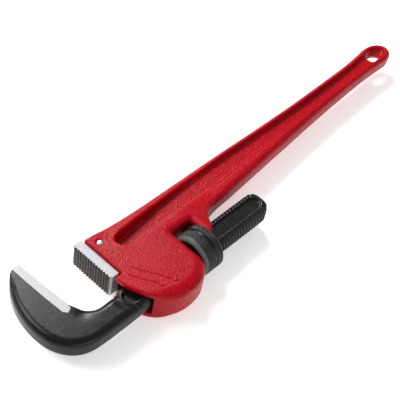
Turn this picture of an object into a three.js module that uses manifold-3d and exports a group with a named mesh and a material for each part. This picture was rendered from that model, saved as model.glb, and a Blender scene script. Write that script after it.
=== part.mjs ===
// A 24 inch straight pipe wrench, lying on the side of its head, jaws partly open.
// Lengths are in millimetres. +X runs from the hook jaw to the end of the handle,
// +Y from the shank to the spine of the handle, +Z up through the thickness.
import * as THREE from 'three';
import { mergeVertices } from 'three/addons/utils/BufferGeometryUtils.js';
import Module from 'manifold-3d';

const wasm = await Module();
wasm.setup();

// ---- driving dimensions, measured from the shank's axis and the heel jaw's teeth ----
const JAW_OPENING = 56.5;       // gap between the two toothed faces as stored
const PITCH = 5.08;             // adjusting thread, five to the inch
const THREAD_R = 18;            // crest radius of the shank's thread
const THREAD_DEPTH = 2.1;
const THREAD_X = 40;            // where the thread's first groove crosses the top of the shank
const SHANK_HALF = 12.7;        // half the shank's width across its flat sides
const SHANK_END = 218;
const HOOK_HALF = 13.2;         // half thickness of the hook's head
const HOUSING_HALF = 21;        // half thickness of the housing
const HANDLE_HALF = 12;         // half thickness of the handle
const WEB_HALF = 5.5;           // half thickness of the web between the handle's flanges
const SLOT_HALF = 14;           // half width of the slot the shank runs in
const SLOT_R = 19.6;            // half height of that slot
const NUT_R = 27;
const NUT_X0 = 97.4;
const NUT_X1 = 125.2;
const WINDOW_X0 = 96.2;
const WINDOW_X1 = 126.4;
const HEEL_HALF = 16;
const HEEL_Y0 = 28.6;
const HEEL_Y1 = 89.6;
const HEEL_BACK = 12.4;         // from the teeth to the shoulder on the housing
const TOOTH_PITCH = 4.3;
const TOOTH_DEPTH = 1.7;
const PIN_X = 23.5;
const PIN_Y = 70.5;
const PIN_R = 4;
const HOLE_X = 541;
const HOLE_Y = 72.5;
const HOLE_R = 10.5;
const SPRING_X = 70;            // the coil spring's axis runs along Y here

// ---- helpers ----
function solid(geometry) {
  const bare = geometry.clone();
  bare.deleteAttribute('normal');
  bare.deleteAttribute('uv');
  const merged = mergeVertices(bare, 1e-4);
  return new wasm.Manifold(new wasm.Mesh({
    numProp: 3,
    vertProperties: new Float32Array(merged.attributes.position.array),
    triVerts: new Uint32Array(merged.index.array),
  }));
}

function toGeometry(manifold) {
  const mesh = manifold.getMesh();
  const geometry = new THREE.BufferGeometry();
  geometry.setAttribute('position', new THREE.BufferAttribute(new Float32Array(mesh.vertProperties), 3));
  geometry.setIndex(new THREE.BufferAttribute(new Uint32Array(mesh.triVerts), 1));
  geometry.computeVertexNormals();
  return geometry;
}

function vectors(points) {
  return points.map(([x, y]) => new THREE.Vector2(x, y));
}

function smooth(points, divisions) {
  const curve = new THREE.SplineCurve(vectors(points));
  return curve.getPoints(divisions).map((p) => [p.x, p.y]);
}

function arc(cx, cy, r, from, to, steps) {
  const points = [];
  for (let i = 0; i <= steps; i += 1) {
    const a = THREE.MathUtils.degToRad(from + ((to - from) * i) / steps);
    points.push([cx + r * Math.cos(a), cy + r * Math.sin(a)]);
  }
  return points;
}

// A plate cut to an outline in XY, from z0 to z1, with its long edges rounded by `round`.
function plate(points, z0, z1, round = 0, roundSteps = 3) {
  const geometry = new THREE.ExtrudeGeometry(new THREE.Shape(vectors(points)), {
    depth: z1 - z0 - 2 * round,
    bevelEnabled: round > 0,
    bevelThickness: round,
    bevelSize: round,
    bevelOffset: -round,
    bevelSegments: roundSteps,
    steps: 1,
    curveSegments: 12,
  });
  geometry.translate(0, 0, z0 + round);
  return solid(geometry);
}

// A solid cut to an outline seen from above, in X and Z, from y0 to y1.
function planSolid(points, y0, y1) {
  const geometry = new THREE.ExtrudeGeometry(new THREE.Shape(vectors(points)), { depth: y1 - y0, bevelEnabled: false });
  geometry.rotateX(Math.PI / 2);
  geometry.translate(0, y1, 0);
  return solid(geometry);
}

function box(x0, x1, y0, y1, z0, z1) {
  const geometry = new THREE.BoxGeometry(x1 - x0, y1 - y0, z1 - z0);
  geometry.translate((x0 + x1) / 2, (y0 + y1) / 2, (z0 + z1) / 2);
  return solid(geometry);
}

// A solid of revolution about X: the profile lists [x, radius] from the axis back to the axis.
function turned(profile, segments) {
  const geometry = new THREE.LatheGeometry(vectors(profile.map(([x, r]) => [r, x])), segments);
  geometry.rotateZ(-Math.PI / 2);
  return solid(geometry);
}

// A round bar along X, Y or Z.
function bar(axis, x, y, z, r, length, segments) {
  const geometry = new THREE.CylinderGeometry(r, r, length, segments);
  if (axis === 'x') geometry.rotateZ(Math.PI / 2);
  if (axis === 'z') geometry.rotateX(Math.PI / 2);
  geometry.translate(x, y, z);
  return solid(geometry);
}

function union(list) {
  return list.reduce((sum, item) => sum.add(item));
}

// A piece of the adjusting thread's helix, from one angle about X to another.
class Helix extends THREE.Curve {
  constructor(radius, x, from, to) {
    super();
    Object.assign(this, { radius, x, from, to });
  }

  getPoint(t, target = new THREE.Vector3()) {
    const a = this.from + (this.to - this.from) * t;
    return target.set(this.x + (PITCH * a) / (2 * Math.PI), this.radius * Math.cos(a), this.radius * Math.sin(a));
  }
}

// A bar with a symmetrical trapezoid section swept along part of the helix.
// `inner` and `outer` are its half widths along X at the two radii.
function threadBar(x, from, to, r0, inner, r1, outer, steps) {
  const middle = (r0 + r1) / 2;
  const half = (r1 - r0) / 2;
  const path = new Helix(middle, x, from, to);
  const geometry = new THREE.ExtrudeGeometry(
    new THREE.Shape(vectors([[-outer, -half], [outer, -half], [inner, half], [-inner, half]])),
    { steps, extrudePath: path, bevelEnabled: false },
  );
  return solid(geometry);
}

// ---- handle ----
const SPINE = [
  [40, 83.8], [90, 83.9], [150, 85.2], [230, 84.8], [300, 83.4], [370, 82.8], [430, 83.6], [490, 85.4], [520, 88],
  [541, 90.2], [556, 87.4], [565, 80.8], [569, 72.5], [566.5, 64.2], [560, 58.2], [549, 55.6],
];
const UNDERSIDE = [
  [549, 55.6], [533, 56], [508, 56.2], [468, 54.6], [420, 51.6], [373, 48], [311, 42.6], [257, 37.8],
  [206, 33.2], [180, 31.4], [150, 31],
];
const CHANNEL_TOP = [
  [39.5, 64.5], [50, 69], [75, 71.4], [110, 73.6], [150, 75.6], [230, 77.2], [300, 75.9], [370, 75.3], [430, 76.1],
  [490, 77.9], [520, 80.5], [541, 82.8], [553, 80.9], [560, 76], [561.6, 71], [558.4, 65.4], [551, 62.4], [540, 61.8],
];
const CHANNEL_FOOT = [
  [540, 61.8], [508, 61.3], [468, 59.8], [420, 58.3], [373, 56.6], [311, 54], [243, 51.3], [184, 48.6], [120, 47.2],
  [60, 46.2], [49, 47], [41.5, 51], [37.8, 57.5], [39.5, 64.5],
];

function housingOutline() {
  const belly = smooth([
    [2.2, 24.6], [2.8, 14], [6.2, 1], [11.4, -11.5], [18, -22.6], [27, -32], [40, -38.4], [57, -40.4], [74, -38],
    [86, -32], [93.4, -24.6], [WINDOW_X0, -17],
  ], 22);
  return [
    [HEEL_BACK + 0.3, 85.4], [HEEL_BACK + 0.3, 24.6], ...belly, [WINDOW_X0, 29.4], [155, 29.4], [180, 31.4],
    [180, 85.2], [90, 83.9], [40, 83.8],
  ];
}

function rearLug() {
  const outline = [
    [WINDOW_X1, 34], [WINDOW_X1, 0.5], [129, -1.4], [133, -0.4], [140, 7.4], [149, 24], [157, 31], [164, 34],
  ];
  return plate(outline, -HOUSING_HALF, HOUSING_HALF, 1.2, 1);
}

function handleBlank() {
  const housing = plate(housingOutline(), -HOUSING_HALF, HOUSING_HALF, 3, 2).add(rearLug());
  // seen from above, the head narrows from the housing to the handle
  const plan = [
    [-5, -30], [64, -30], [70, -HOUSING_HALF], [128, -19.6], [146, -16.4], [176, -9], [185, -9],
    [185, 9], [176, 9], [146, 16.4], [128, 19.6], [70, HOUSING_HALF], [64, 30], [-5, 30],
  ];
  // above the channel the spine's flange thins sooner
  const flare = [
    [20, 30], [20, HOUSING_HALF + 0.5], [35, 19.3], [65, 17.8], [95, 15.6], [125, 13.8], [170, 12.2], [190, 12],
    [190, 30],
  ];
  const flange = planSolid(flare, 66, 110).add(planSolid(flare.map(([x, z]) => [x, -z]).reverse(), 66, 110));
  const bar1 = plate([...smooth(SPINE, 46), ...smooth(UNDERSIDE, 20).slice(1), [60, 40], [40, 40]],
    -HANDLE_HALF, HANDLE_HALF, 7.5, 4);
  return housing.intersect(planSolid(plan, -50, 110)).subtract(flange).add(bar1);
}

function channels() {
  const outline = [...smooth(CHANNEL_TOP, 40), ...smooth(CHANNEL_FOOT, 34).slice(1, -1)];
  return plate(outline, WEB_HALF, 30).add(plate(outline, -30, -WEB_HALF));
}

function shankSlot() {
  const run = box(-5, 170, -SLOT_R, SLOT_R, -SLOT_HALF, SLOT_HALF);
  const mouth = box(-5, 26.5, 0, HEEL_Y0 - 0.4, -SLOT_HALF, SLOT_HALF);
  const springBay = box(26, 92, 10, 23.2, -8.4, 8.4);
  const coilPocket = bar('y', SPRING_X, 30, 0, 6, 17, 24);
  const rivetHole = bar('y', 32, 25, 0, 1.8, 10, 16);
  const lugGap = box(126, 170, 0, 22.5, -SLOT_HALF, SLOT_HALF);
  return union([run, mouth, springBay, coilPocket, rivetHole, lugGap]);
}

function heelSeat() {
  const pocket = box(HEEL_BACK, 34.2, 32.6, 79.4, -11.3, 11.3);
  const hole = bar('z', PIN_X, PIN_Y, 0, PIN_R + 0.3, 60, 32);
  return pocket.add(hole);
}

function handle() {
  const holes = bar('z', HOLE_X, HOLE_Y, 0, HOLE_R, 60, 40);
  return handleBlank().subtract(union([channels(), shankSlot(), heelSeat(), holes]));
}

// ---- jaws ----
// Saw teeth along a line from (x0, y0) up to (x1, y1), cut back into the jaw by `depth` along X.
function teeth(x0, y0, x1, y1, depth) {
  const count = Math.round(Math.hypot(x1 - x0, y1 - y0) / TOOTH_PITCH);
  const points = [];
  for (let i = 0; i < count; i += 1) {
    const tip = (i + 0.35) / count;
    points.push([x0 + ((x1 - x0) * i) / count + depth, y0 + ((y1 - y0) * i) / count]);
    points.push([x0 + (x1 - x0) * tip, y0 + (y1 - y0) * tip]);
  }
  points.push([x1 + depth, y1]);
  return points;
}

function heelJaw() {
  const blade = plate([
    [2, HEEL_Y0], ...teeth(0, HEEL_Y0 + 2, 0, HEEL_Y1 - 2.4, TOOTH_DEPTH), [2.6, HEEL_Y1], [HEEL_BACK, HEEL_Y1],
    [HEEL_BACK, HEEL_Y0],
  ], -HEEL_HALF, HEEL_HALF);
  const tang = box(HEEL_BACK - 1, 33.8, 33, 79, -10.9, 10.9);
  const hole = bar('z', PIN_X, PIN_Y, 0, PIN_R + 0.3, 60, 32);
  return blade.add(tang).subtract(hole);
}

function hookHead() {
  const toothed = teeth(-JAW_OPENING + 1.8, 36, -JAW_OPENING - 2.4, 108, -TOOTH_DEPTH);
  const throat = smooth([
    [-30, 13.2], [-36.2, 14.6], [-41, 18], [-45.2, 22.6], [-49.6, 27], [-53.2, 31.4], [-54.6, 36],
  ], 12).slice(0, -1);
  const back = smooth([
    [-60.4, 110.4], [-66, 110.2], [-74.6, 106.6], [-86, 93.6], [-94.6, 77], [-100.4, 57], [-102.2, 36], [-99.6, 16],
    [-91.4, 0], [-79, -11], [-64, -16.2], [-46, -17.6], [-30, -17.8],
  ], 26);
  const foot = [10, -THREAD_R + 0.4];
  const profile = plate([...throat, ...toothed, ...back, foot, [10, 13.2]], -HOOK_HALF, HOOK_HALF);
  const rounded = plate([[-40, 110.4], ...back, foot, [30, -THREAD_R + 0.4], [30, 110.4]], -HOOK_HALF, HOOK_HALF, 2.6, 2);
  return profile.intersect(rounded);
}

function shankBlank() {
  const round = bar('x', (SHANK_END - 40) / 2, 0, 0, THREAD_R, SHANK_END + 40, 16);
  const corner = 15.5;
  const outline = [
    [-40, -19], ...arc(SHANK_END - corner, -3, corner, -90, 0, 6), ...arc(SHANK_END - corner, 3, corner, 0, 90, 6),
    [-40, 19],
  ];
  return round.intersect(plate(outline, -SHANK_HALF, SHANK_HALF));
}

function shankGrooves() {
  const grooves = [];
  const reach = THREE.MathUtils.degToRad(67.5);
  for (let turn = 0; turn < 36; turn += 1) {
    for (const side of [0, Math.PI]) {
      const x = THREAD_X + turn * PITCH;
      if (x + (PITCH * side) / (2 * Math.PI) < SHANK_END - 3) {
        grooves.push(threadBar(x, side - reach, side + reach, THREAD_R - THREAD_DEPTH, 0.5, THREAD_R + 1, 2.2, 6));
      }
    }
  }
  return union(grooves);
}

function sidePanels() {
  const outline = [...arc(9, 0, 8.4, 90, 270, 8), ...arc(SHANK_END - 14, 0, 8.4, -90, 90, 8)];
  return plate(outline, SHANK_HALF - 1.6, 20).add(plate(outline, -20, -SHANK_HALF + 1.6));
}

function hookJaw() {
  return hookHead().add(shankBlank()).subtract(shankGrooves()).subtract(sidePanels());
}

// ---- adjusting nut ----
function nutThread() {
  const ridges = [];
  const step = Math.PI / 2;
  const start = THREAD_X + 11 * PITCH;
  for (let i = -2; i < 26; i += 1) {
    const from = (i + 0.5) * step;
    ridges.push(threadBar(start, from - 0.02, from + step + 0.02, THREAD_R - THREAD_DEPTH + 0.75, 0.3, THREAD_R + 1, 1.4, 4));
  }
  return union(ridges);
}

function adjustingNut() {
  const split = NUT_X0 + 15.5;
  const ring = turned([
    [NUT_X0, 0], [NUT_X0, NUT_R - 3.6], [NUT_X0 + 2.6, NUT_R - 0.6], [NUT_X0 + 3.4, NUT_R], [split - 1, NUT_R],
    [split, NUT_R - 1.2], [split + 1, NUT_R - 1.2], [split + 2, NUT_R], [NUT_X1 - 1.6, NUT_R], [NUT_X1, NUT_R - 1.6],
    [NUT_X1, 0],
  ], 36);
  const bore = bar('x', (NUT_X0 + NUT_X1) / 2, 0, 0, THREAD_R + 0.6, 60, 24);
  const thread = nutThread().intersect(box(NUT_X0 + 1, NUT_X1 - 1, -40, 40, -40, 40));
  return ring.subtract(bore).add(thread);
}

// ---- small pieces ----
function heelPin() {
  return new THREE.LatheGeometry(vectors([
    [0, -HOUSING_HALF + 0.1], [PIN_R - 0.9, -HOUSING_HALF + 0.4], [PIN_R, -HOUSING_HALF + 1.3],
    [PIN_R, HOUSING_HALF - 1.3], [PIN_R - 0.9, HOUSING_HALF - 0.4], [0, HOUSING_HALF - 0.1],
  ]), 32);
}

class SpringPath extends THREE.Curve {
  getPoint(t, target = new THREE.Vector3()) {
    const a = t * 2 * Math.PI * 5;
    return target.set(4.4 * Math.cos(a), 14.6 * t, 4.4 * Math.sin(a));
  }
}

function coilSpring() {
  const wire = new THREE.Shape();
  wire.absarc(0, 0, 0.8, 0, 2 * Math.PI);
  return new THREE.ExtrudeGeometry(wire, {
    steps: 50, curveSegments: 3, extrudePath: new SpringPath(), bevelEnabled: false,
  });
}

function flatSpring() {
  const strip = plate([[27.2, 21], [38, 21], [86, 18.5], [90, 18.9], [90, 20], [86, 19.6], [38, 22.3], [27.2, 22.3]],
    -7, 7);
  return strip.subtract(bar('y', 32, 21, 0, 1.8, 12, 16));
}

function springRivet() {
  return new THREE.LatheGeometry(vectors([
    [0, 19.4], [2.2, 19.4], [3.1, 20], [3.1, 20.7], [1.5, 20.7], [1.5, 29.6], [0, 29.6],
  ]), 16);
}

// ---- assembly ----
function piece(name, geometry, color, roughness, metalness) {
  const mesh = new THREE.Mesh(geometry, new THREE.MeshStandardMaterial({ color, roughness, metalness }));
  mesh.name = name;
  return mesh;
}

const group = new THREE.Group();
group.name = 'pipe_wrench';

group.add(piece('handle', toGeometry(handle()), 0xb8141c, 0.45, 0.1));
group.add(piece('heel_jaw', toGeometry(heelJaw()), 0xb9bcbc, 0.35, 0.9));
group.add(piece('hook_jaw', toGeometry(hookJaw()), 0x34363a, 0.5, 0.7));
group.add(piece('adjusting_nut', toGeometry(adjustingNut()), 0x2c2e31, 0.45, 0.7));
group.add(piece('flat_spring', toGeometry(flatSpring()), 0x60646a, 0.4, 0.9));

const pin = piece('heel_jaw_pin', heelPin(), 0xc8ccd0, 0.25, 1);
pin.rotation.x = Math.PI / 2;
pin.position.set(PIN_X, PIN_Y, 0);
group.add(pin);

const coil = piece('coil_spring', coilSpring(), 0x70747a, 0.35, 1);
coil.position.set(SPRING_X, 22.3, 0);
group.add(coil);

const rivet = piece('spring_rivet', springRivet(), 0x8c9094, 0.4, 0.9);
rivet.position.set(32, 0, 0);
group.add(rivet);

// the origin is under the middle of the wrench's box, at the height of its lowest point
const bounds = new THREE.Box3().setFromObject(group, true);
const middle = bounds.getCenter(new THREE.Vector3());
group.position.set(-middle.x, -middle.y, -bounds.min.z);

export default group;
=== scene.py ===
"""A 24 inch straight pipe wrench: a red cast handle, forged jaws, a knurled nut and its springs.

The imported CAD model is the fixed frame. Shapes are given in millimetres from the point where the shank's
axis meets the plane of the heel jaw's teeth: +X towards the end of the handle, +Y towards its spine,
+Z through the thickness. `metres` turns them into the frame's own coordinates.
"""
import math

import bmesh
import bpy
import numpy as np
from mathutils import Matrix, Vector


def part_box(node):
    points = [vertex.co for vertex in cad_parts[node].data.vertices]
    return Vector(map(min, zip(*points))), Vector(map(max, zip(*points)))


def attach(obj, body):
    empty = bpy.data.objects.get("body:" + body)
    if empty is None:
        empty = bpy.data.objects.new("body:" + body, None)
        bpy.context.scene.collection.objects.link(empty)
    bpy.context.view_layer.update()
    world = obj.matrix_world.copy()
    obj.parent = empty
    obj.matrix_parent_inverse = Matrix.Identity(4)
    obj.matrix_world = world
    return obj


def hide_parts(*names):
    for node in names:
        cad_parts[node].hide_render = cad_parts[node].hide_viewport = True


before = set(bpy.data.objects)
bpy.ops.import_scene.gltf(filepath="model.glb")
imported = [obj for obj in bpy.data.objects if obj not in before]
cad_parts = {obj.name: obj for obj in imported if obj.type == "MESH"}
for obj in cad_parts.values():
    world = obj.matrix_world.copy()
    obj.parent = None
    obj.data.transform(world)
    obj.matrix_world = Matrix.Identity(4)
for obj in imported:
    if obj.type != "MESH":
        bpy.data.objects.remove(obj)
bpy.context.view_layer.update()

MM = 0.001
nut_low, nut_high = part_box("adjusting_nut")
ORIGIN = np.array([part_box("heel_jaw")[0].x, (nut_low.y + nut_high.y) / 2, (nut_low.z + nut_high.z) / 2])

# sizes in millimetres; HALF is half of a thickness, R a radius
PITCH = 5.08
THREAD_R = 18.0
THREAD_DEPTH = 2.1
THREAD_X = 40.0
SHANK_HALF = 12.7
SHANK_END = 218.0
HOOK_HALF = 13.2
SLOT_HALF = 14.0
SLOT_R = 19.6
NUT_R = 27.0
NUT_BORE_R = 18.9
NUT_X0 = 97.4
NUT_X1 = 125.2
WINDOW_X0 = 96.2
WINDOW_X1 = 126.4
WINDOW_TOP = 29.4
HEEL_HALF = 16.0
HEEL_BACK = 12.4
PIN = (23.5, 70.5)
PIN_R = 4.0
PIN_PLAY = 0.25
HOLE = (541.0, 72.5)
HOLE_R = 10.5
SPRING_X = 70.0
WEB_HALF = 4.6
CHEEK = 21.0
TOOTH_DEPTH = 1.7


# ---- meshes ----
def metres(points):
    return np.asarray(points, float) * MM + ORIGIN


def mesh_object(name, points, faces, materials, face_slots=None, sharp=None):
    """A mesh from points in millimetres; `sharp` is the angle in degrees past which an edge is crisp."""
    mesh = bpy.data.meshes.new(name)
    mesh.from_pydata(metres(points).tolist(), [], [list(f) for f in faces])
    for item in materials:
        mesh.materials.append(item)
    if face_slots is not None:
        mesh.polygons.foreach_set("material_index", np.asarray(face_slots, np.int32))
    mesh.polygons.foreach_set("use_smooth", [True] * len(mesh.polygons))
    outward = bmesh.new()
    outward.from_mesh(mesh)
    bmesh.ops.recalc_face_normals(outward, faces=outward.faces)
    outward.to_mesh(mesh)
    outward.free()
    mesh.update()
    if sharp is not None:
        mesh.set_sharp_from_angle(angle=math.radians(sharp))
    piece = bpy.data.objects.new(name, mesh)
    bpy.context.scene.collection.objects.link(piece)
    return piece


def loft(rings, closed=False):
    """Quads between rings of equally many points, with a face over each end unless the rings close."""
    count = len(rings[0])
    points = [p for ring in rings for p in ring]
    faces = []
    last = len(rings) if closed else len(rings) - 1
    for i in range(last):
        a = i * count
        b = ((i + 1) % len(rings)) * count
        for j in range(count):
            k = (j + 1) % count
            faces.append((a + j, a + k, b + k, b + j))
    if not closed:
        faces.append(tuple(reversed(range(count))))
        faces.append(tuple(range(len(points) - count, len(points))))
    return points, faces


def joined(parts):
    """The points and the faces of several parts in one list each."""
    points, faces = [], []
    for some_points, some_faces in parts:
        base = len(points)
        points.extend(some_points)
        faces.extend(tuple(i + base for i in f) for f in some_faces)
    return points, faces


def smooth_path(points, divisions, closed=False):
    """A Catmull-Rom curve through the points."""
    p = np.asarray(points, float)
    if closed:
        p = np.vstack([p[-1], p, p[0], p[1]])
    else:
        p = np.vstack([2 * p[0] - p[1], p, 2 * p[-1] - p[-2]])
    out = []
    for i in range(1, len(p) - 2):
        for t in np.arange(divisions) / divisions:
            a = 2 * p[i]
            b = p[i + 1] - p[i - 1]
            c = 2 * p[i - 1] - 5 * p[i] + 4 * p[i + 1] - p[i + 2]
            d = -p[i - 1] + 3 * p[i] - 3 * p[i + 1] + p[i + 2]
            out.append((a + b * t + c * t * t + d * t ** 3) / 2)
    if not closed:
        out.append(p[-2])
    return [tuple(q) for q in out]


# ---- solid shapes as distance fields ----
def smax(a, b, r):
    """Intersection of two fields, with the edge between them rounded to radius r."""
    return np.minimum(-r, np.maximum(a, b)) + np.hypot(np.maximum(r + a, 0), np.maximum(r + b, 0))


def smin(a, b, r):
    """Union of two fields, with a fillet of radius r between them."""
    return -smax(-a, -b, r)


def outline_field(outline, x, y):
    """Signed distance in the XY plane from a closed outline, negative inside."""
    best = np.full(np.broadcast(x, y).shape, np.inf)
    inside = np.zeros(best.shape, bool)
    ends = np.roll(np.asarray(outline, float), -1, axis=0)
    for (ax, ay), (bx, by) in zip(outline, ends):
        ex, ey = bx - ax, by - ay
        wx, wy = x - ax, y - ay
        t = np.clip((wx * ex + wy * ey) / max(ex * ex + ey * ey, 1e-9), 0, 1)
        best = np.minimum(best, (wx - t * ex) ** 2 + (wy - t * ey) ** 2)
        if ay != by:
            inside ^= ((ay > y) != (by > y)) & (x < ex * (y - ay) / ey + ax)
    return np.where(inside, -1, 1) * np.sqrt(best)


def box_field(x, y, z, low, high):
    """Signed distance from a box by its nearest face, negative inside."""
    sides = [np.maximum(a - v, v - b) for v, a, b in zip((x, y, z), low, high)]
    return np.maximum(np.maximum(sides[0], sides[1]), sides[2])


def surface(field, low, step):
    """The zero surface of a sampled field as quads: one point for each cell that the surface crosses."""
    inside = field < 0
    nx, ny, nz = [n - 1 for n in inside.shape]
    counts = sum(
        inside[i:nx + i, j:ny + j, k:nz + k].astype(np.int8) for i in (0, 1) for j in (0, 1) for k in (0, 1)
    )
    cells = np.argwhere((counts > 0) & (counts < 8))
    index = np.full(counts.shape, -1, np.int64)
    index[tuple(cells.T)] = np.arange(len(cells))
    total = np.zeros((len(cells), 3))
    crossings = np.zeros(len(cells))
    corners = [np.array((i, j, k)) for i in (0, 1) for j in (0, 1) for k in (0, 1)]
    for a in corners:
        for b in corners:
            if (b - a).sum() != 1 or (b < a).any():
                continue
            fa = field[tuple((cells + a).T)]
            fb = field[tuple((cells + b).T)]
            cut = (fa < 0) != (fb < 0)
            t = fa[cut] / (fa[cut] - fb[cut])
            total[cut] += a + t[:, None] * (b - a)
            crossings[cut] += 1
    points = (cells + total / crossings[:, None]) * step + np.asarray(low)
    quads = []
    for axis in range(3):
        u, v = [n for n in range(3) if n != axis]
        first = np.take(inside, range(inside.shape[axis] - 1), axis)
        second = np.take(inside, range(1, inside.shape[axis]), axis)
        edges = np.argwhere(first != second)
        edges = edges[(edges[:, u] > 0) & (edges[:, v] > 0)]
        edges = edges[(edges[:, u] < counts.shape[u]) & (edges[:, v] < counts.shape[v])]
        du, dv = np.eye(3, dtype=int)[u], np.eye(3, dtype=int)[v]
        ring = [index[tuple((edges - shift).T)] for shift in (du + dv, dv, 0 * du, du)]
        faces = np.stack(ring, 1)
        flip = first[tuple(edges.T)] == (axis == 1)
        faces[flip] = faces[flip][:, ::-1]
        quads.append(faces)
    return points, np.vstack(quads)


def carve(name, field_of, low, high, step, materials, sharp=None):
    """A piece whose shape is the inside of a distance field."""
    axes = [np.arange(a - 2 * step, b + 3 * step, step) for a, b in zip(low, high)]
    x, y, z = np.meshgrid(*axes, indexing="ij", sparse=True)
    field = np.broadcast_to(field_of(x, y, z), [len(axis) for axis in axes])
    points, quads = surface(field, [axis[0] for axis in axes], step)
    return mesh_object(name, points, quads.tolist(), materials, sharp=sharp)


# ---- procedural materials ----
class Finish:
    """A node material; texture coordinates are the piece's own, in metres."""

    def __init__(self, name, base, roughness, **inputs):
        self.material = bpy.data.materials.new(name)
        self.material.use_nodes = True
        self.tree = self.material.node_tree
        self.shader = self.tree.nodes["Principled BSDF"]
        self.shader.inputs["Base Color"].default_value = (*base, 1)
        self.shader.inputs["Roughness"].default_value = roughness
        for key, value in inputs.items():
            self.shader.inputs[key.replace("_", " ")].default_value = value
        self.place = self.node("ShaderNodeTexCoord").outputs["Object"]
        self.normal = None

    def node(self, kind, **values):
        """A new node with its settings or its unlinked inputs given by name."""
        made = self.tree.nodes.new(kind)
        for key, value in values.items():
            if hasattr(made, key):
                setattr(made, key, value)
            else:
                made.inputs[key].default_value = value
        return made

    def link(self, source, target):
        self.tree.links.new(source, target)

    def stretched(self, scale):
        """The piece's coordinates with a different scale along each axis."""
        mapping = self.node("ShaderNodeMapping")
        mapping.inputs["Scale"].default_value = scale
        self.link(self.place, mapping.inputs["Vector"])
        return mapping.outputs["Vector"]

    def noise(self, scale, detail=3.0, roughness=0.5, place=None):
        made = self.node("ShaderNodeTexNoise", Scale=scale, Detail=detail, Roughness=roughness)
        self.link(place or self.place, made.inputs["Vector"])
        return made.outputs["Fac"]

    def attribute(self, name):
        made = self.node("ShaderNodeAttribute", attribute_name=name)
        return made.outputs["Fac"]

    def edges(self, low, high):
        """0 on flat and hollow places, 1 on the crests of edges."""
        return self.spread(self.node("ShaderNodeNewGeometry").outputs["Pointiness"], low, high)

    def spread(self, source, low, high, to_low=0.0, to_high=1.0):
        """Maps low..high of a value to to_low..to_high, held at both ends."""
        made = self.node("ShaderNodeMapRange")
        for key, value in (("From Min", low), ("From Max", high), ("To Min", to_low), ("To Max", to_high)):
            made.inputs[key].default_value = value
        self.link(source, made.inputs["Value"])
        return made.outputs["Result"]

    def tint(self, factor, colour, strength=1.0):
        """Lays a colour over the base colour where `factor` is high."""
        mix = self.node("ShaderNodeMix", data_type="RGBA")
        amount = self.node("ShaderNodeMath", operation="MULTIPLY")
        amount.inputs[1].default_value = strength
        self.link(factor, amount.inputs[0])
        self.link(amount.outputs[0], mix.inputs["Factor"])
        base = self.shader.inputs["Base Color"]
        under, over = [socket for socket in mix.inputs if socket.type == "RGBA"]
        if base.is_linked:
            self.link(base.links[0].from_socket, under)
        else:
            under.default_value = base.default_value
        over.default_value = (*colour, 1)
        self.link([socket for socket in mix.outputs if socket.type == "RGBA"][0], base)

    def rough(self, factor, low, high):
        """Lets the roughness run from low to high over the middle of a noise."""
        self.link(self.spread(factor, 0.3, 0.7, low, high), self.shader.inputs["Roughness"])

    def bump(self, height, distance, strength=1.0):
        """Adds surface grain, on top of any grain that is already there."""
        made = self.node("ShaderNodeBump", Strength=strength, Distance=distance)
        self.link(height, made.inputs["Height"])
        if self.normal:
            self.link(self.normal, made.inputs["Normal"])
        self.normal = made.outputs["Normal"]
        self.link(self.normal, self.shader.inputs["Normal"])


def enamel():
    red = Finish("red_enamel", (0.38, 0.0004, 0.007), 0.28, Specular_IOR_Level=0.14)
    red.tint(red.spread(red.noise(18, 4), 0.35, 0.7), (0.29, 0.0004, 0.006), strength=0.6)
    red.tint(red.spread(red.noise(560, 2), 0.50, 0.66), (0.19, 0.0003, 0.003), strength=0.8)
    # painted highlight: the crests of the edges are painted a lighter red
    red.tint(red.edges(0.52, 0.58), (0.60, 0.008, 0.016), strength=0.4)
    red.rough(red.noise(260, 3), 0.20, 0.36)
    red.bump(red.noise(230, 3), 0.0008, 0.4)
    red.bump(red.noise(520, 2, 0.6), 0.0008, 0.7)
    return red.material


def forged_black():
    black = Finish("black_forging", (0.0045, 0.0046, 0.005), 0.34, Specular_IOR_Level=0.2)
    black.tint(black.spread(black.noise(40, 5), 0.4, 0.7), (0.010, 0.010, 0.011), strength=0.8)
    # the crests of the edges are painted lighter: a little wear and a painted highlight
    black.tint(black.edges(0.52, 0.60), (0.05, 0.05, 0.052), strength=0.6)
    black.rough(black.noise(120, 4), 0.24, 0.34)
    black.bump(black.noise(110, 3), 0.0005, 0.22)
    black.bump(black.noise(800, 2), 0.0002, 0.5)
    return black.material


def knurled_black():
    black = Finish("black_nut", (0.004, 0.004, 0.0045), 0.34, Specular_IOR_Level=0.3)
    # painted highlight: the knurl's tips are painted lighter than its grooves
    black.tint(black.spread(black.attribute("crest"), 0.5, 1.0), (0.032, 0.032, 0.035), strength=0.7)
    # painted highlight: the chamfers at the nut's ends are painted a lighter grey
    black.tint(black.attribute("turned"), (0.14, 0.14, 0.145), strength=0.7)
    black.rough(black.noise(200, 3), 0.24, 0.40)
    black.bump(black.noise(900, 2), 0.00015, 0.4)
    return black.material


def ground_steel():
    steel = Finish("ground_steel", (0.47, 0.48, 0.49), 0.5, Specular_IOR_Level=0.25)
    lines = steel.noise(60, 4, 0.6, steel.stretched((6, 6, 60)))
    steel.tint(steel.spread(lines, 0.4, 0.7), (0.38, 0.39, 0.40), strength=0.6)
    steel.tint(steel.spread(steel.noise(500, 3), 0.5, 0.75), (0.30, 0.30, 0.31), strength=0.6)
    steel.rough(lines, 0.42, 0.56)
    steel.bump(lines, 0.00012, 0.5)
    return steel.material


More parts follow.
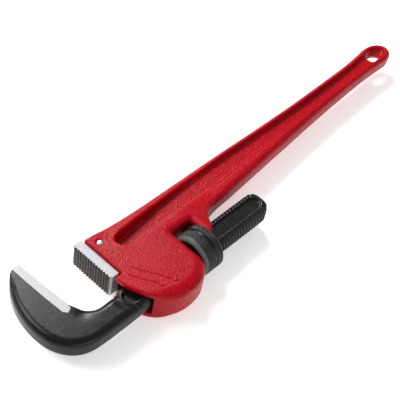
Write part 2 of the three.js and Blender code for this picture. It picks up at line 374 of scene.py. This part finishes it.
def tooth_steel():
    teeth = Finish("tooth_face", (0.020, 0.014, 0.012), 0.45, Metallic=0.2, Specular_IOR_Level=0.4)
    teeth.tint(teeth.spread(teeth.attribute("crest"), 0.45, 0.95), (0.42, 0.38, 0.35), strength=0.9)
    teeth.tint(teeth.spread(teeth.noise(300, 3), 0.45, 0.7), (0.04, 0.030, 0.027), strength=0.5)
    teeth.rough(teeth.noise(400, 2), 0.36, 0.56)
    teeth.bump(teeth.noise(900, 2), 0.0002, 0.5)
    return teeth.material


def spring_steel():
    steel = Finish("spring_steel", (0.30, 0.31, 0.33), 0.34, Metallic=0.9)
    steel.tint(steel.spread(steel.noise(90, 4), 0.4, 0.7), (0.18, 0.17, 0.17), strength=0.6)
    steel.rough(steel.noise(300, 3), 0.26, 0.45)
    steel.bump(steel.noise(800, 2), 0.0001, 0.4)
    return steel.material


def pin_steel():
    steel = Finish("pin_steel", (0.62, 0.63, 0.64), 0.22, Metallic=1.0)
    steel.tint(steel.spread(steel.noise(300, 3), 0.45, 0.7), (0.36, 0.36, 0.36), strength=0.7)
    steel.rough(steel.noise(500, 3), 0.16, 0.34)
    steel.bump(steel.noise(900, 2), 0.0001, 0.4)
    return steel.material


RED = enamel()
BLACK = forged_black()
NUT_BLACK = knurled_black()
STEEL = ground_steel()
TEETH = tooth_steel()
SPRING = spring_steel()
BRIGHT = pin_steel()

# ---- the handle and housing ----
# the spine from the head round the end of the handle
SPINE = [
    (40, 83.8), (90, 83.9), (150, 85.2), (230, 84.8), (300, 83.4), (370, 82.8), (430, 83.6), (490, 85.4),
    (520, 88), (541, 90.2), (556, 87.4), (565, 80.8), (569, 72.5), (566.5, 64.2), (560, 58.2), (549, 55.6),
]
# the handle's lower edge from its end down to the lug behind the nut
UNDERSIDE = [
    (549, 55.6), (533, 56), (508, 56.2), (468, 54.6), (420, 51.6), (373, 48), (311, 42.6), (257, 37.8),
    (206, 33.2), (180, 31.6), (164, 29.8), (156, 26.4), (149.5, 20), (144, 11.6), (138, 4), (132, -0.6),
]
# the front and the belly of the housing, round to the nut's window
BELLY = [
    (2.4, 24.6), (2.8, 14), (6.2, 1), (11.4, -11.5), (18, -22.6), (27, -32), (40, -38.4), (57, -40.4),
    (74, -38), (86, -32), (93.4, -24.6), (WINDOW_X0, -17),
]
# the channel sunk into each side of the handle
CHANNEL = [
    (39.5, 64.5), (50, 69), (75, 71.4), (110, 73.6), (150, 75.6), (230, 77.2), (300, 75.9), (370, 75.3),
    (430, 76.1), (490, 77.9), (520, 80.5), (541, 82.6), (552, 80.2), (558.6, 75.2), (560.6, 70.6),
    (557.8, 65.4), (551, 62.4), (540, 61.8), (508, 61.3), (468, 59.8), (420, 58.3), (373, 56.6), (311, 54),
    (243, 51.3), (184, 48.6), (120, 47.2), (60, 46.2), (49, 47), (41.5, 51), (37.8, 57.5),
]
HANDLE_OUTLINE = [
    (HEEL_BACK + 0.3, 85.0), (HEEL_BACK + 0.3, 24.6), *smooth_path(BELLY, 8), (WINDOW_X0, WINDOW_TOP),
    (WINDOW_X1, WINDOW_TOP), (WINDOW_X1, 0.6), *reversed(smooth_path(UNDERSIDE, 8)[1:]),
    *reversed(smooth_path(SPINE, 8)),
]
# half of the thickness along X, below the channel and along the spine
LOWER_HALF = [(0, CHEEK), (84, CHEEK), (124, 20.2), (146, 16.8), (172, 12), (430, 12), (569, 10.6)]
UPPER_HALF = [
    (0, CHEEK), (20, CHEEK), (35, 19.2), (65, 17.6), (95, 15.4), (125, 13.6), (170, 12), (430, 12),
    (569, 10.6),
]
# rounding of the outer edges along X, for the whole handle and for the spine by the head
EDGE_ROUND = [
    (0, 1.8), (20, 2.2), (60, 6), (90, 9.5), (110, 8), (150, 6), (190, 8), (430, 8), (569, 6.5),
]
SPINE_ROUND = [(0, 2), (30, 3), (60, 7), (120, 8)]
# the middle of the channel along X: its lower wall leans more than its upper one
CHANNEL_MIDDLE = [(30, 57), (60, 58), (180, 62), (300, 66), (430, 70), (541, 72)]
UPPER_LEAN = 0.10
LOWER_LEAN = 0.40


def along(x, table, blur=8.0):
    """A value that changes smoothly along X through a table of (x, value)."""
    xs, values = zip(*table)
    return sum(np.interp(x + shift, xs, values) for shift in np.linspace(-blur, blur, 9)) / 9


def step_between(v, low, high):
    """0 below low, 1 above high, smooth in between."""
    t = np.clip((v - low) / (high - low), 0, 1)
    return t * t * (3 - 2 * t)


def handle_field(x, y, z):
    """The casting: its outline and thickness, less its channels, its hollows and its holes."""
    depth = np.abs(z)
    outline = outline_field(HANDLE_OUTLINE, x, y)
    lower = along(x, LOWER_HALF)
    upper = along(x, UPPER_HALF)
    # the thickness goes over from one table to the other between the shank's side and the spine
    half = lower + (upper - lower) * step_between(y, 50, 78)
    edge = along(x, EDGE_ROUND)
    edge = edge + (along(x, SPINE_ROUND, 4) - edge) * step_between(y, 60, 76)
    body = smax(outline, depth - half, edge)
    # the belly is chamfered below the cheeks
    belly = step_between(-y, 4, 20) * step_between(x, 8, 36)
    chamfer = 0.57 * (outline + 8.5) + 0.82 * (depth - CHEEK) - 7 * (1 - belly)
    body = smax(body, chamfer, 3.0)
    low_wall = step_between(along(x, CHANNEL_MIDDLE) - y, -4, 4)
    lean = UPPER_LEAN + (LOWER_LEAN - UPPER_LEAN) * low_wall
    walls = outline_field(smooth_path(CHANNEL, 6, closed=True), x, y) + lean * (half - depth)
    channel = smax(walls, WEB_HALF - depth, 3.0)
    body = smax(body, -channel, 1.8)
    # the run of the shank, the mouth above it, the gap in the lug, the springs' room and the jaw's seat
    run = box_field(x, y, z, (-9, -SLOT_R, -SLOT_HALF), (170, SLOT_R, SLOT_HALF))
    mouth = box_field(x, y, z, (-9, 0, -SLOT_HALF), (26.5, 28.2, SLOT_HALF))
    lug_gap = box_field(x, y, z, (124, 0, -SLOT_HALF), (170, 22.5, SLOT_HALF))
    spring_bay = box_field(x, y, z, (26, 10, -8.4), (92, 23.2, 8.4))
    coil_pocket = np.maximum(np.hypot(x - SPRING_X, z) - 6, np.maximum(15 - y, y - 38.5))
    seat = box_field(x, y, z, (-9, 32.6, -11.3), (34.2, 79.4, 11.3))
    inside = np.minimum.reduce(np.broadcast_arrays(run, mouth, lug_gap, spring_bay, coil_pocket, seat))
    pin_hole = np.hypot(x - PIN[0], y - PIN[1]) - PIN_R - PIN_PLAY
    hang_hole = np.hypot(x - HOLE[0], y - HOLE[1]) - HOLE_R
    body = smax(body, -inside, 1.0)
    body = smax(body, -pin_hole, 0.3)
    return smax(body, -hang_hole, 1.2)


handle = carve("handle_casting", handle_field, (2, -41, -CHEEK), (569.1, 90.3, CHEEK), 1.2, [RED])


# raised marks on the cheeks: two plain arrows, each from its tail to its tip
ARROWS = [((25.0, 23.4), (51.2, -22.6)), ((15.2, 19.4), (35.0, -17.6))]
RIB_WIDTH = 1.8
RIB_HEIGHT = 0.85
# across the rib in widths, up in heights
RIB_SECTION = [(-0.5, -0.4), (-0.38, 0.7), (-0.14, 1), (0.14, 1), (0.38, 0.7), (0.5, -0.4)]


def rib(path, side):
    """A low raised line along a path on one cheek."""
    rings = []
    for i, (px, py) in enumerate(path):
        nx, ny = path[min(i + 1, len(path) - 1)]
        qx, qy = path[max(i - 1, 0)]
        length = math.hypot(nx - qx, ny - qy)
        sx, sy = -(ny - qy) / length * RIB_WIDTH, (nx - qx) / length * RIB_WIDTH
        rings.append([(px + sx * u, py + sy * u, side * (CHEEK + RIB_HEIGHT * v)) for u, v in RIB_SECTION])
    return loft(rings)


def arrow(tail, tip, side):
    """A raised line with a small solid head."""
    tail, tip = Vector(tail), Vector(tip)
    ahead = (tip - tail).normalized()
    across = Vector((-ahead.y, ahead.x))
    base = tip - ahead * 4.5
    line = rib([tuple(tail), tuple(tail.lerp(base, 0.5)), tuple(base + ahead)], side)
    rings = []
    for spread, height in ((1.0, -0.4), (0.86, 0.8), (0.66, 1.0)):
        middle = base + ahead * 1.6
        corners = [tip + ahead, base - across * 3.2, base + across * 3.2]
        rings.append([(*(middle + (c - middle) * spread), side * (CHEEK + height)) for c in corners])
    return [line, loft(rings)]


marks_points, marks_faces = joined(
    [part for side in (1, -1) for tail, tip in ARROWS for part in arrow(tail, tip, side)]
)
marks = mesh_object("cheek_marks", marks_points, marks_faces, [RED], sharp=50)

# ---- the hook jaw ----
# the inner curve from the neck up to the foot of the teeth
THROAT = [(-30, 13.2), (-36.2, 14.6), (-41, 18), (-45.2, 22.6), (-49.6, 27), (-53.2, 31.4), (-55.4, 36)]
# the outer curve from the tip down the back and along the underside of the neck
HOOK_BACK = [
    (-60.4, 110.4), (-66, 110.2), (-74.6, 106.6), (-86, 93.6), (-94.6, 77), (-100.4, 57), (-102.2, 36),
    (-99.6, 16), (-91.4, 0), (-79, -11), (-64, -16.2), (-46, -17.4), (-30, -17.6),
]
# the part of the hook that keeps its crisp edges, beside the teeth
HOOK_FRONT = [(-40, 118), (-66, 112), (-70.5, 84), (-69.5, 54), (-68, 34), (-62, 26), (-54, 30), (-40, 60)]
# the sunken panel of each side, and the raised rim round it
PANEL_X0 = 2.0
PANEL_HALF = 8.6
PANEL_SINK = 2.2
RIM_MIDDLE = 2.1
RIM_HALF = 1.9
END_R = 15.5
GROOVE_TOP = 1.75
GROOVE_FLANK = 1.2
TEETH_FOOT = (-54.7, 36.0)
TEETH_TOP = (-58.9, 108.0)


def thread_radius(x, y, z):
    """Radius of the shank's thread, a right-handed trapezoid groove, at each point."""
    turn = np.arctan2(z, y) / (2 * math.pi)
    offset = (x - THREAD_X) / PITCH - turn
    from_groove = np.abs(offset - np.round(offset)) * PITCH
    groove = np.clip((GROOVE_TOP - from_groove) / GROOVE_FLANK, 0, 1) * THREAD_DEPTH
    return THREAD_R - np.where((x > THREAD_X - 4) & (x < SHANK_END - 3), groove, 0)


def hook_field(x, y, z):
    """The forging: the hook's head, the threaded bar with its flats, the rims and the panels."""
    depth = np.abs(z)
    outline = [
        *smooth_path(THROAT, 8), (-57.4, 60), (-60.6, 107),
        *smooth_path(HOOK_BACK, 8), (6, -17.6), (6, 13.2),
    ]
    head = outline_field(outline, x, y)
    # a wide round along the back and under the neck, a crisp edge by the teeth
    back = np.clip(outline_field(smooth_path(HOOK_FRONT, 6), x, y) / 11, 0, 1)
    edge = 1.0 + 7.8 * back * step_between(-y, -112, -92)
    panel = np.hypot(np.maximum(np.maximum(PANEL_X0 - x, x - SHANK_END + 14), 0), y) - PANEL_HALF
    # the flanks are hollowed a little below the teeth and beside the rim
    hollow = 1.3 * np.exp(-((x + 48.5) / 9) ** 2 - ((y - 19) / 8) ** 2)
    hollow = hollow + 1.1 * step_between(-panel, -15, -4)
    head = smax(head, depth - HOOK_HALF + 0.15 + hollow, edge)
    bar = smax(np.hypot(y, z) - thread_radius(x, y, z), depth - SHANK_HALF, 0.7)
    end_x = np.maximum(x - SHANK_END + END_R, 0)
    end_y = np.maximum(np.abs(y) - THREAD_R - 0.5 + END_R, 0)
    end = np.where(end_x > 0, np.hypot(end_x, end_y) - END_R, -END_R)
    bar = smax(bar, end, 1.6)
    bar = np.maximum(bar, -2 - x)
    body = smin(head, bar, 0.8)
    # a raised rim runs round the sunken panel of each side
    rim = smax(np.abs(panel - RIM_MIDDLE) - RIM_HALF, depth - HOOK_HALF + 0.1, 0.9)
    rim = smax(rim, np.hypot(y, z) - thread_radius(x, y, z), 0.5)
    body = smin(body, rim, 0.5)
    recess = smax(panel, SHANK_HALF - PANEL_SINK - depth, 0.9)
    return smax(body, -recess, 0.7)


hook = carve(
    "hook_forging", hook_field, (-102.3, -18, -HOOK_HALF), (SHANK_END, 110.5, HOOK_HALF), 0.8, [BLACK],
    sharp=60,
)


# one tooth from root to root: (part of the pitch, part of the depth)
TOOTH = [(0.0, 0.0), (0.18, 0.55), (0.36, 1.0), (0.55, 0.78), (0.78, 0.4)]


def toothed(name, start, end, count, back, half, cross_pitch, materials):
    """A block with saw teeth along its front from start to end, each nicked across its width.

    `back` is the outline behind the teeth, from the end's corner round to the start's. The teeth point to
    the right of the way from start to end, and take the second material.
    """
    start, end = np.array(start), np.array(end)
    step = (end - start) / count
    away = np.array([step[1], -step[0]]) / np.hypot(*step)
    sections = []
    crest = []
    stops = int(round(2 * half / cross_pitch)) * 4
    for k in range(stops + 1):
        z = -half + 2 * half * k / stops
        nick = abs((k % 4) - 2) / 2
        ring = []
        for i in range(count):
            for t, rise in TOOTH:
                height = TOOTH_DEPTH * rise * (0.62 + 0.38 * nick) - TOOTH_DEPTH
                spot = start + step * (i + t) + away * height
                ring.append((spot[0], spot[1], z))
                crest.append(rise * (0.25 + 0.75 * nick))
        ring.extend((bx, by, z) for bx, by in back)
        crest.extend([0.0] * len(back))
        sections.append(ring)
    points, faces = loft(sections)
    per_ring = len(sections[0])
    front = len(TOOTH) * count - 1
    toothed_sides = {*range(front), per_ring - 1}
    slots = [int(i % per_ring in toothed_sides) for i in range(len(faces) - 2)] + [0, 0]
    piece = mesh_object(name, points, faces, materials, slots, sharp=12)
    layer = piece.data.attributes.new("crest", "FLOAT", "POINT")
    layer.data.foreach_set("value", np.array(crest, np.float32))
    return piece


# the bright ground strip behind the hook's teeth
STRIP_BACK = [
    (-60.4, 110.2), (-66.5, 109.8), (-69.2, 108.4), (-68.9, 84.6), (-67.8, 54.2), (-66.4, 32),
    (-62.6, 27.6), (-56.4, 30.6),
]
hook_teeth = toothed(
    "hook_teeth", TEETH_FOOT, TEETH_TOP, 16, STRIP_BACK, HOOK_HALF, 2.2, [STEEL, STEEL]
)

# ---- the heel jaw ----
heel_back = [(2.7, 28.8), (HEEL_BACK - 0.2, 28.8), (HEEL_BACK - 0.2, 89.4), (2.2, 89.4)]
heel = toothed("heel_block", (0.05, 87.6), (0.05, 30.8), 14, heel_back, HEEL_HALF, 2.1, [STEEL, TEETH])


def rounded_box(low, high, r):
    """A box with rounded corners along X, as points and faces."""
    (x0, y0, z0), (x1, y1, z1) = low, high
    corners = [(y1 - r, z1 - r, 0), (y0 + r, z1 - r, 90), (y0 + r, z0 + r, 180), (y1 - r, z0 + r, 270)]
    section = []
    for cy, cz, start in corners:
        for step in range(5):
            a = math.radians(start + step * 22.5)
            section.append((cy + r * math.cos(a), cz + r * math.sin(a)))
    return loft([[(x, y, z) for y, z in section] for x in (x0, x0 + 0.01, x1 - 0.01, x1)])


tang_points, tang_faces = rounded_box((HEEL_BACK - 0.6, 33, -10.9), (33.8, 79, 10.9), 1.2)
tang = mesh_object("heel_tang", tang_points, tang_faces, [STEEL], sharp=40)


# ---- turned pieces ----
def turned(profile, columns, radius=None):
    """Rings about the X axis from (x, radius) rows; `radius` may change a row's radius with the angle."""
    rings = []
    for row, (px, pr) in enumerate(profile):
        ring = []
        for i in range(columns):
            a = 2 * math.pi * i / columns
            r = radius(row, px, pr, a) if radius else pr
            ring.append((px, r * math.cos(a), r * math.sin(a)))
        rings.append(ring)
    return rings


KNURLS = 84
KNURL_DEPTH = 0.62
NUT_COLUMNS = 504


def nut_profile():
    """Rows of (x, radius, part): part 1 is knurled, 2 a chamfer painted light as a highlight, 3 the
    threaded bore, 0 plain.
    """
    rows = [(NUT_X0 + 0.1, NUT_BORE_R, 0), (NUT_X0, 19.6, 0), (NUT_X0, 22.6, 2), (NUT_X0 + 0.2, 23.3, 2)]
    rows += [(NUT_X0 + 1.6, 24.8, 2), (NUT_X0 + 2.9, 26.1, 2), (NUT_X0 + 3.5, 26.6, 0)]
    rows += [(x, NUT_R, 1) for x in np.linspace(NUT_X0 + 3.9, NUT_X0 + 14.3, 40)]
    rows += [(NUT_X0 + 14.6, 26.3, 0), (NUT_X0 + 15.0, 25.6, 0), (NUT_X0 + 15.6, 25.3, 0)]
    rows += [(NUT_X0 + 17.0, 25.3, 0), (NUT_X0 + 17.6, 25.6, 0), (NUT_X0 + 18.0, 26.3, 0)]
    rows += [(x, NUT_R, 1) for x in np.linspace(NUT_X0 + 18.3, NUT_X1 - 1.5, 32)]
    rows += [(NUT_X1 - 1.2, 26.5, 0), (NUT_X1 - 0.2, 25.5, 2), (NUT_X1, 25.1, 2), (NUT_X1, 19.6, 0)]
    rows += [(x, NUT_BORE_R, 3) for x in np.linspace(NUT_X1 - 0.6, NUT_X0 + 0.8, 54)]
    return rows


nut_rows = nut_profile()
nut_crest = []


def nut_radius(row, px, pr, a):
    """The radius of one row at the angle a, with the knurl's pyramids or the thread's ridge."""
    part = nut_rows[row][2]
    crest = 0.0
    if part == 1:
        around = a * KNURLS / (2 * math.pi)
        across = (px - NUT_X0) * KNURLS / (2 * math.pi * NUT_R)
        waves = [1 - 2 * abs((v % 1) - 0.5) for v in (around + across, around - across)]
        crest = min(1.0, 1.5 * min(waves[0], waves[1]) + 0.25 * (waves[0] + waves[1]))
        pr = pr - KNURL_DEPTH * (1 - crest)
    if part == 3:
        offset = (px - THREAD_X) / PITCH - a / (2 * math.pi)
        from_groove = abs(offset - round(offset)) * PITCH
        pr = pr - THREAD_DEPTH * min(max((1.35 - from_groove) / 0.9, 0), 1)
    nut_crest.append(crest)
    return pr


nut_points, nut_faces = loft(
    turned([(x, r) for x, r, part in nut_rows], NUT_COLUMNS, nut_radius), closed=True
)
nut = mesh_object("knurled_nut", nut_points, nut_faces, [NUT_BLACK], sharp=55)
# crest and turned carry the nut's painted highlights: its knurl's tips and its chamfers are painted lighter
for layer_name, values in (
    ("crest", nut_crest),
    ("turned", [float(part == 2) for x, r, part in nut_rows for i in range(NUT_COLUMNS)]),
):
    layer = nut.data.attributes.new(layer_name, "FLOAT", "POINT")
    layer.data.foreach_set("value", np.array(values, np.float32))


def lathe(name, profile, columns, axis, place, finish):
    """A solid of revolution: profile rows of (along, radius), laid with X along `axis`."""
    points, faces = loft(turned(profile, columns))
    rotation = Vector((1, 0, 0)).rotation_difference(Vector(axis)).to_matrix()
    points = [tuple(rotation @ Vector(p) + Vector(place)) for p in points]
    return mesh_object(name, points, faces, [finish], sharp=35)


PIN_END = CHEEK - 0.12
# the domed end of the pin: (inwards from the end, radius)
PIN_DOME = [(0, 0.05), (0.03, 1.2), (0.15, 2.3), (0.45, 3.3), (0.95, 3.85), (1.5, PIN_R)]
pin_profile = [(-PIN_END + inwards, r) for inwards, r in PIN_DOME]
pin_profile += [(PIN_END - inwards, r) for inwards, r in reversed(PIN_DOME)]
pin = lathe("heel_pin", pin_profile, 48, (0, 0, 1), (*PIN, 0), BRIGHT)

rivet_profile = [
    (19.4, 0.05), (19.4, 2.1), (19.6, 2.6), (20.0, 3.05), (20.6, 3.1), (20.7, 1.55), (29.5, 1.5),
    (29.6, 0.05),
]
rivet = lathe("leaf_rivet", rivet_profile, 32, (0, 1, 0), (32, 0, 0), SPRING)


# ---- springs ----
def tube(path, r, sides):
    """A round wire along a path of points."""
    path = [Vector(p) for p in path]
    rings = []
    for i, p in enumerate(path):
        ahead = (path[min(i + 1, len(path) - 1)] - path[max(i - 1, 0)]).normalized()
        out = Vector((p.x - SPRING_X, 0, p.z)).normalized()
        up = ahead.cross(out).normalized()
        out = up.cross(ahead)
        ring = []
        for k in range(sides):
            a = 2 * math.pi * k / sides
            ring.append(tuple(p + r * (out * math.cos(a) + up * math.sin(a))))
        rings.append(ring)
    return loft(rings)


COIL_TURNS = 5
COIL_STOPS = COIL_TURNS * 28
COIL_R = 4.4
COIL_FOOT = 22.4
COIL_LENGTH = 14.4
WIRE_R = 0.78
coil_path = []
for i in range(COIL_STOPS + 1):
    t = i / COIL_STOPS
    a = 2 * math.pi * COIL_TURNS * t
    # the coils lie closer at both ends
    eased = t - math.sin(2 * math.pi * t) / (2 * math.pi) * 0.35
    height = COIL_FOOT + COIL_LENGTH * eased
    coil_path.append((SPRING_X + COIL_R * math.cos(a), height, COIL_R * math.sin(a)))
coil_points, coil_faces = tube(coil_path, WIRE_R, 12)
coil = mesh_object("coil_wire", coil_points, coil_faces, [SPRING])

leaf_top = [(27.3, 22.25), (38, 22.25), (50, 21.7), (62, 20.95), (74, 20.2), (86, 19.55), (90, 19.95)]
leaf_under = [(90, 18.95), (86, 18.55), (74, 19.15), (62, 19.85), (50, 20.5), (38, 21.05), (27.3, 21.05)]
leaf_outline = smooth_path(leaf_top, 4) + smooth_path(leaf_under, 4)
leaf_middle = [
    ((ax + bx) / 2, (ay + by) / 2) for (ax, ay), (bx, by) in zip(leaf_outline, reversed(leaf_outline))
]
# the long edges are broken by drawing the last rings in towards the leaf's middle
leaf_rings = []
for z, inset in ((-6.95, 0.22), (-6.75, 0.0), (6.75, 0.0), (6.95, 0.22)):
    ring = []
    for (px, py), (mx, my) in zip(leaf_outline, leaf_middle):
        ring.append((px + (mx - px) * inset, py + (my - py) * inset * 2, z))
    leaf_rings.append(ring)
leaf_points, leaf_faces = loft(leaf_rings)
leaf = mesh_object("leaf_spring", leaf_points, leaf_faces, [SPRING], sharp=30)

# ---- bodies, slots and replaced nodes ----
for piece, body, slot, nodes in (
    (handle, "frame", "handle", ["handle"]),
    (marks, "frame", "handle", []),
    (heel, "frame", "heel_jaw", ["heel_jaw"]),
    (tang, "frame", "heel_jaw", []),
    (pin, "frame", "heel_jaw_pin", ["heel_jaw_pin"]),
    (rivet, "frame", "spring_rivet", ["spring_rivet"]),
    (coil, "frame", "coil_spring", ["coil_spring"]),
    (leaf, "spring_leaf", "flat_spring", ["flat_spring"]),
    (hook, "jaw", "hook_jaw", ["hook_jaw"]),
    (hook_teeth, "jaw", "hook_jaw", []),
    (nut, "nut", "adjusting_nut", ["adjusting_nut"]),
):
    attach(piece, body)
    if nodes:
        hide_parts(*nodes)

# ---- floor, light and camera ----
paper = Finish("paper", (0.93, 0.93, 0.93), 0.9, Emission_Color=(1, 1, 1, 1), Emission_Strength=0.46)
paper.tint(paper.spread(paper.noise(6, 3), 0.3, 0.7), (0.90, 0.90, 0.90), strength=0.5)
FLOOR_HALF = 12.0
floor_corners = [(x * FLOOR_HALF, y * FLOOR_HALF, 0) for x, y in ((-1, -1), (1, -1), (1, 1), (-1, 1))]
floor_mesh = bpy.data.meshes.new("floor")
floor_mesh.from_pydata(floor_corners, [], [(0, 1, 2, 3)])
floor_mesh.materials.append(paper.material)
floor = bpy.data.objects.new("floor", floor_mesh)
bpy.context.scene.collection.objects.link(floor)

world = bpy.data.worlds.new("studio")
world.use_nodes = True
world.node_tree.nodes["Background"].inputs["Color"].default_value = (1, 1, 1, 1)
world.node_tree.nodes["Background"].inputs["Strength"].default_value = 0.38
bpy.context.scene.world = world
bpy.context.scene.view_settings.view_transform = "Standard"


def softbox(name, place, size, power):
    """A rectangular lamp aimed at the middle of the wrench, in metres and watts."""
    data = bpy.data.lights.new(name, "AREA")
    data.shape = "RECTANGLE"
    data.size, data.size_y = size
    data.energy = power
    lamp = bpy.data.objects.new(name, data)
    bpy.context.scene.collection.objects.link(lamp)
    lamp.location = place
    lamp.rotation_euler = (-Vector(place)).to_track_quat("-Z", "Y").to_euler()


softbox("key", (0.30, 1.05, 1.15), (0.6, 0.6), 27)
softbox("side", (-0.9, 0.9, 1.1), (0.8, 0.8), 16)
softbox("low", (-0.5, -1.5, 0.55), (1.6, 0.35), 7)

# from above the hook's end, with the hook at the lower left and the handle to the upper right
VIEW = Vector((-0.55, -0.38, 0.74)).normalized()
ROLL = math.radians(11.3)
TARGET = (106.8, 8.4, 83.6)
DISTANCE = 1185
camera_data = bpy.data.cameras.new("camera")
camera_data.lens = 99
camera_data.clip_end = 20
camera = bpy.data.objects.new("camera", camera_data)
bpy.context.scene.collection.objects.link(camera)
level = Vector((0, 0, 1)).cross(VIEW).normalized()
above = VIEW.cross(level)
across = math.cos(ROLL) * level + math.sin(ROLL) * above
upright = VIEW.cross(across)
turn = Matrix((across, upright, VIEW)).transposed().to_4x4()
turn.translation = Vector(metres(TARGET)) + VIEW * (DISTANCE * MM)
camera.matrix_world = turn
bpy.context.scene.camera = camera
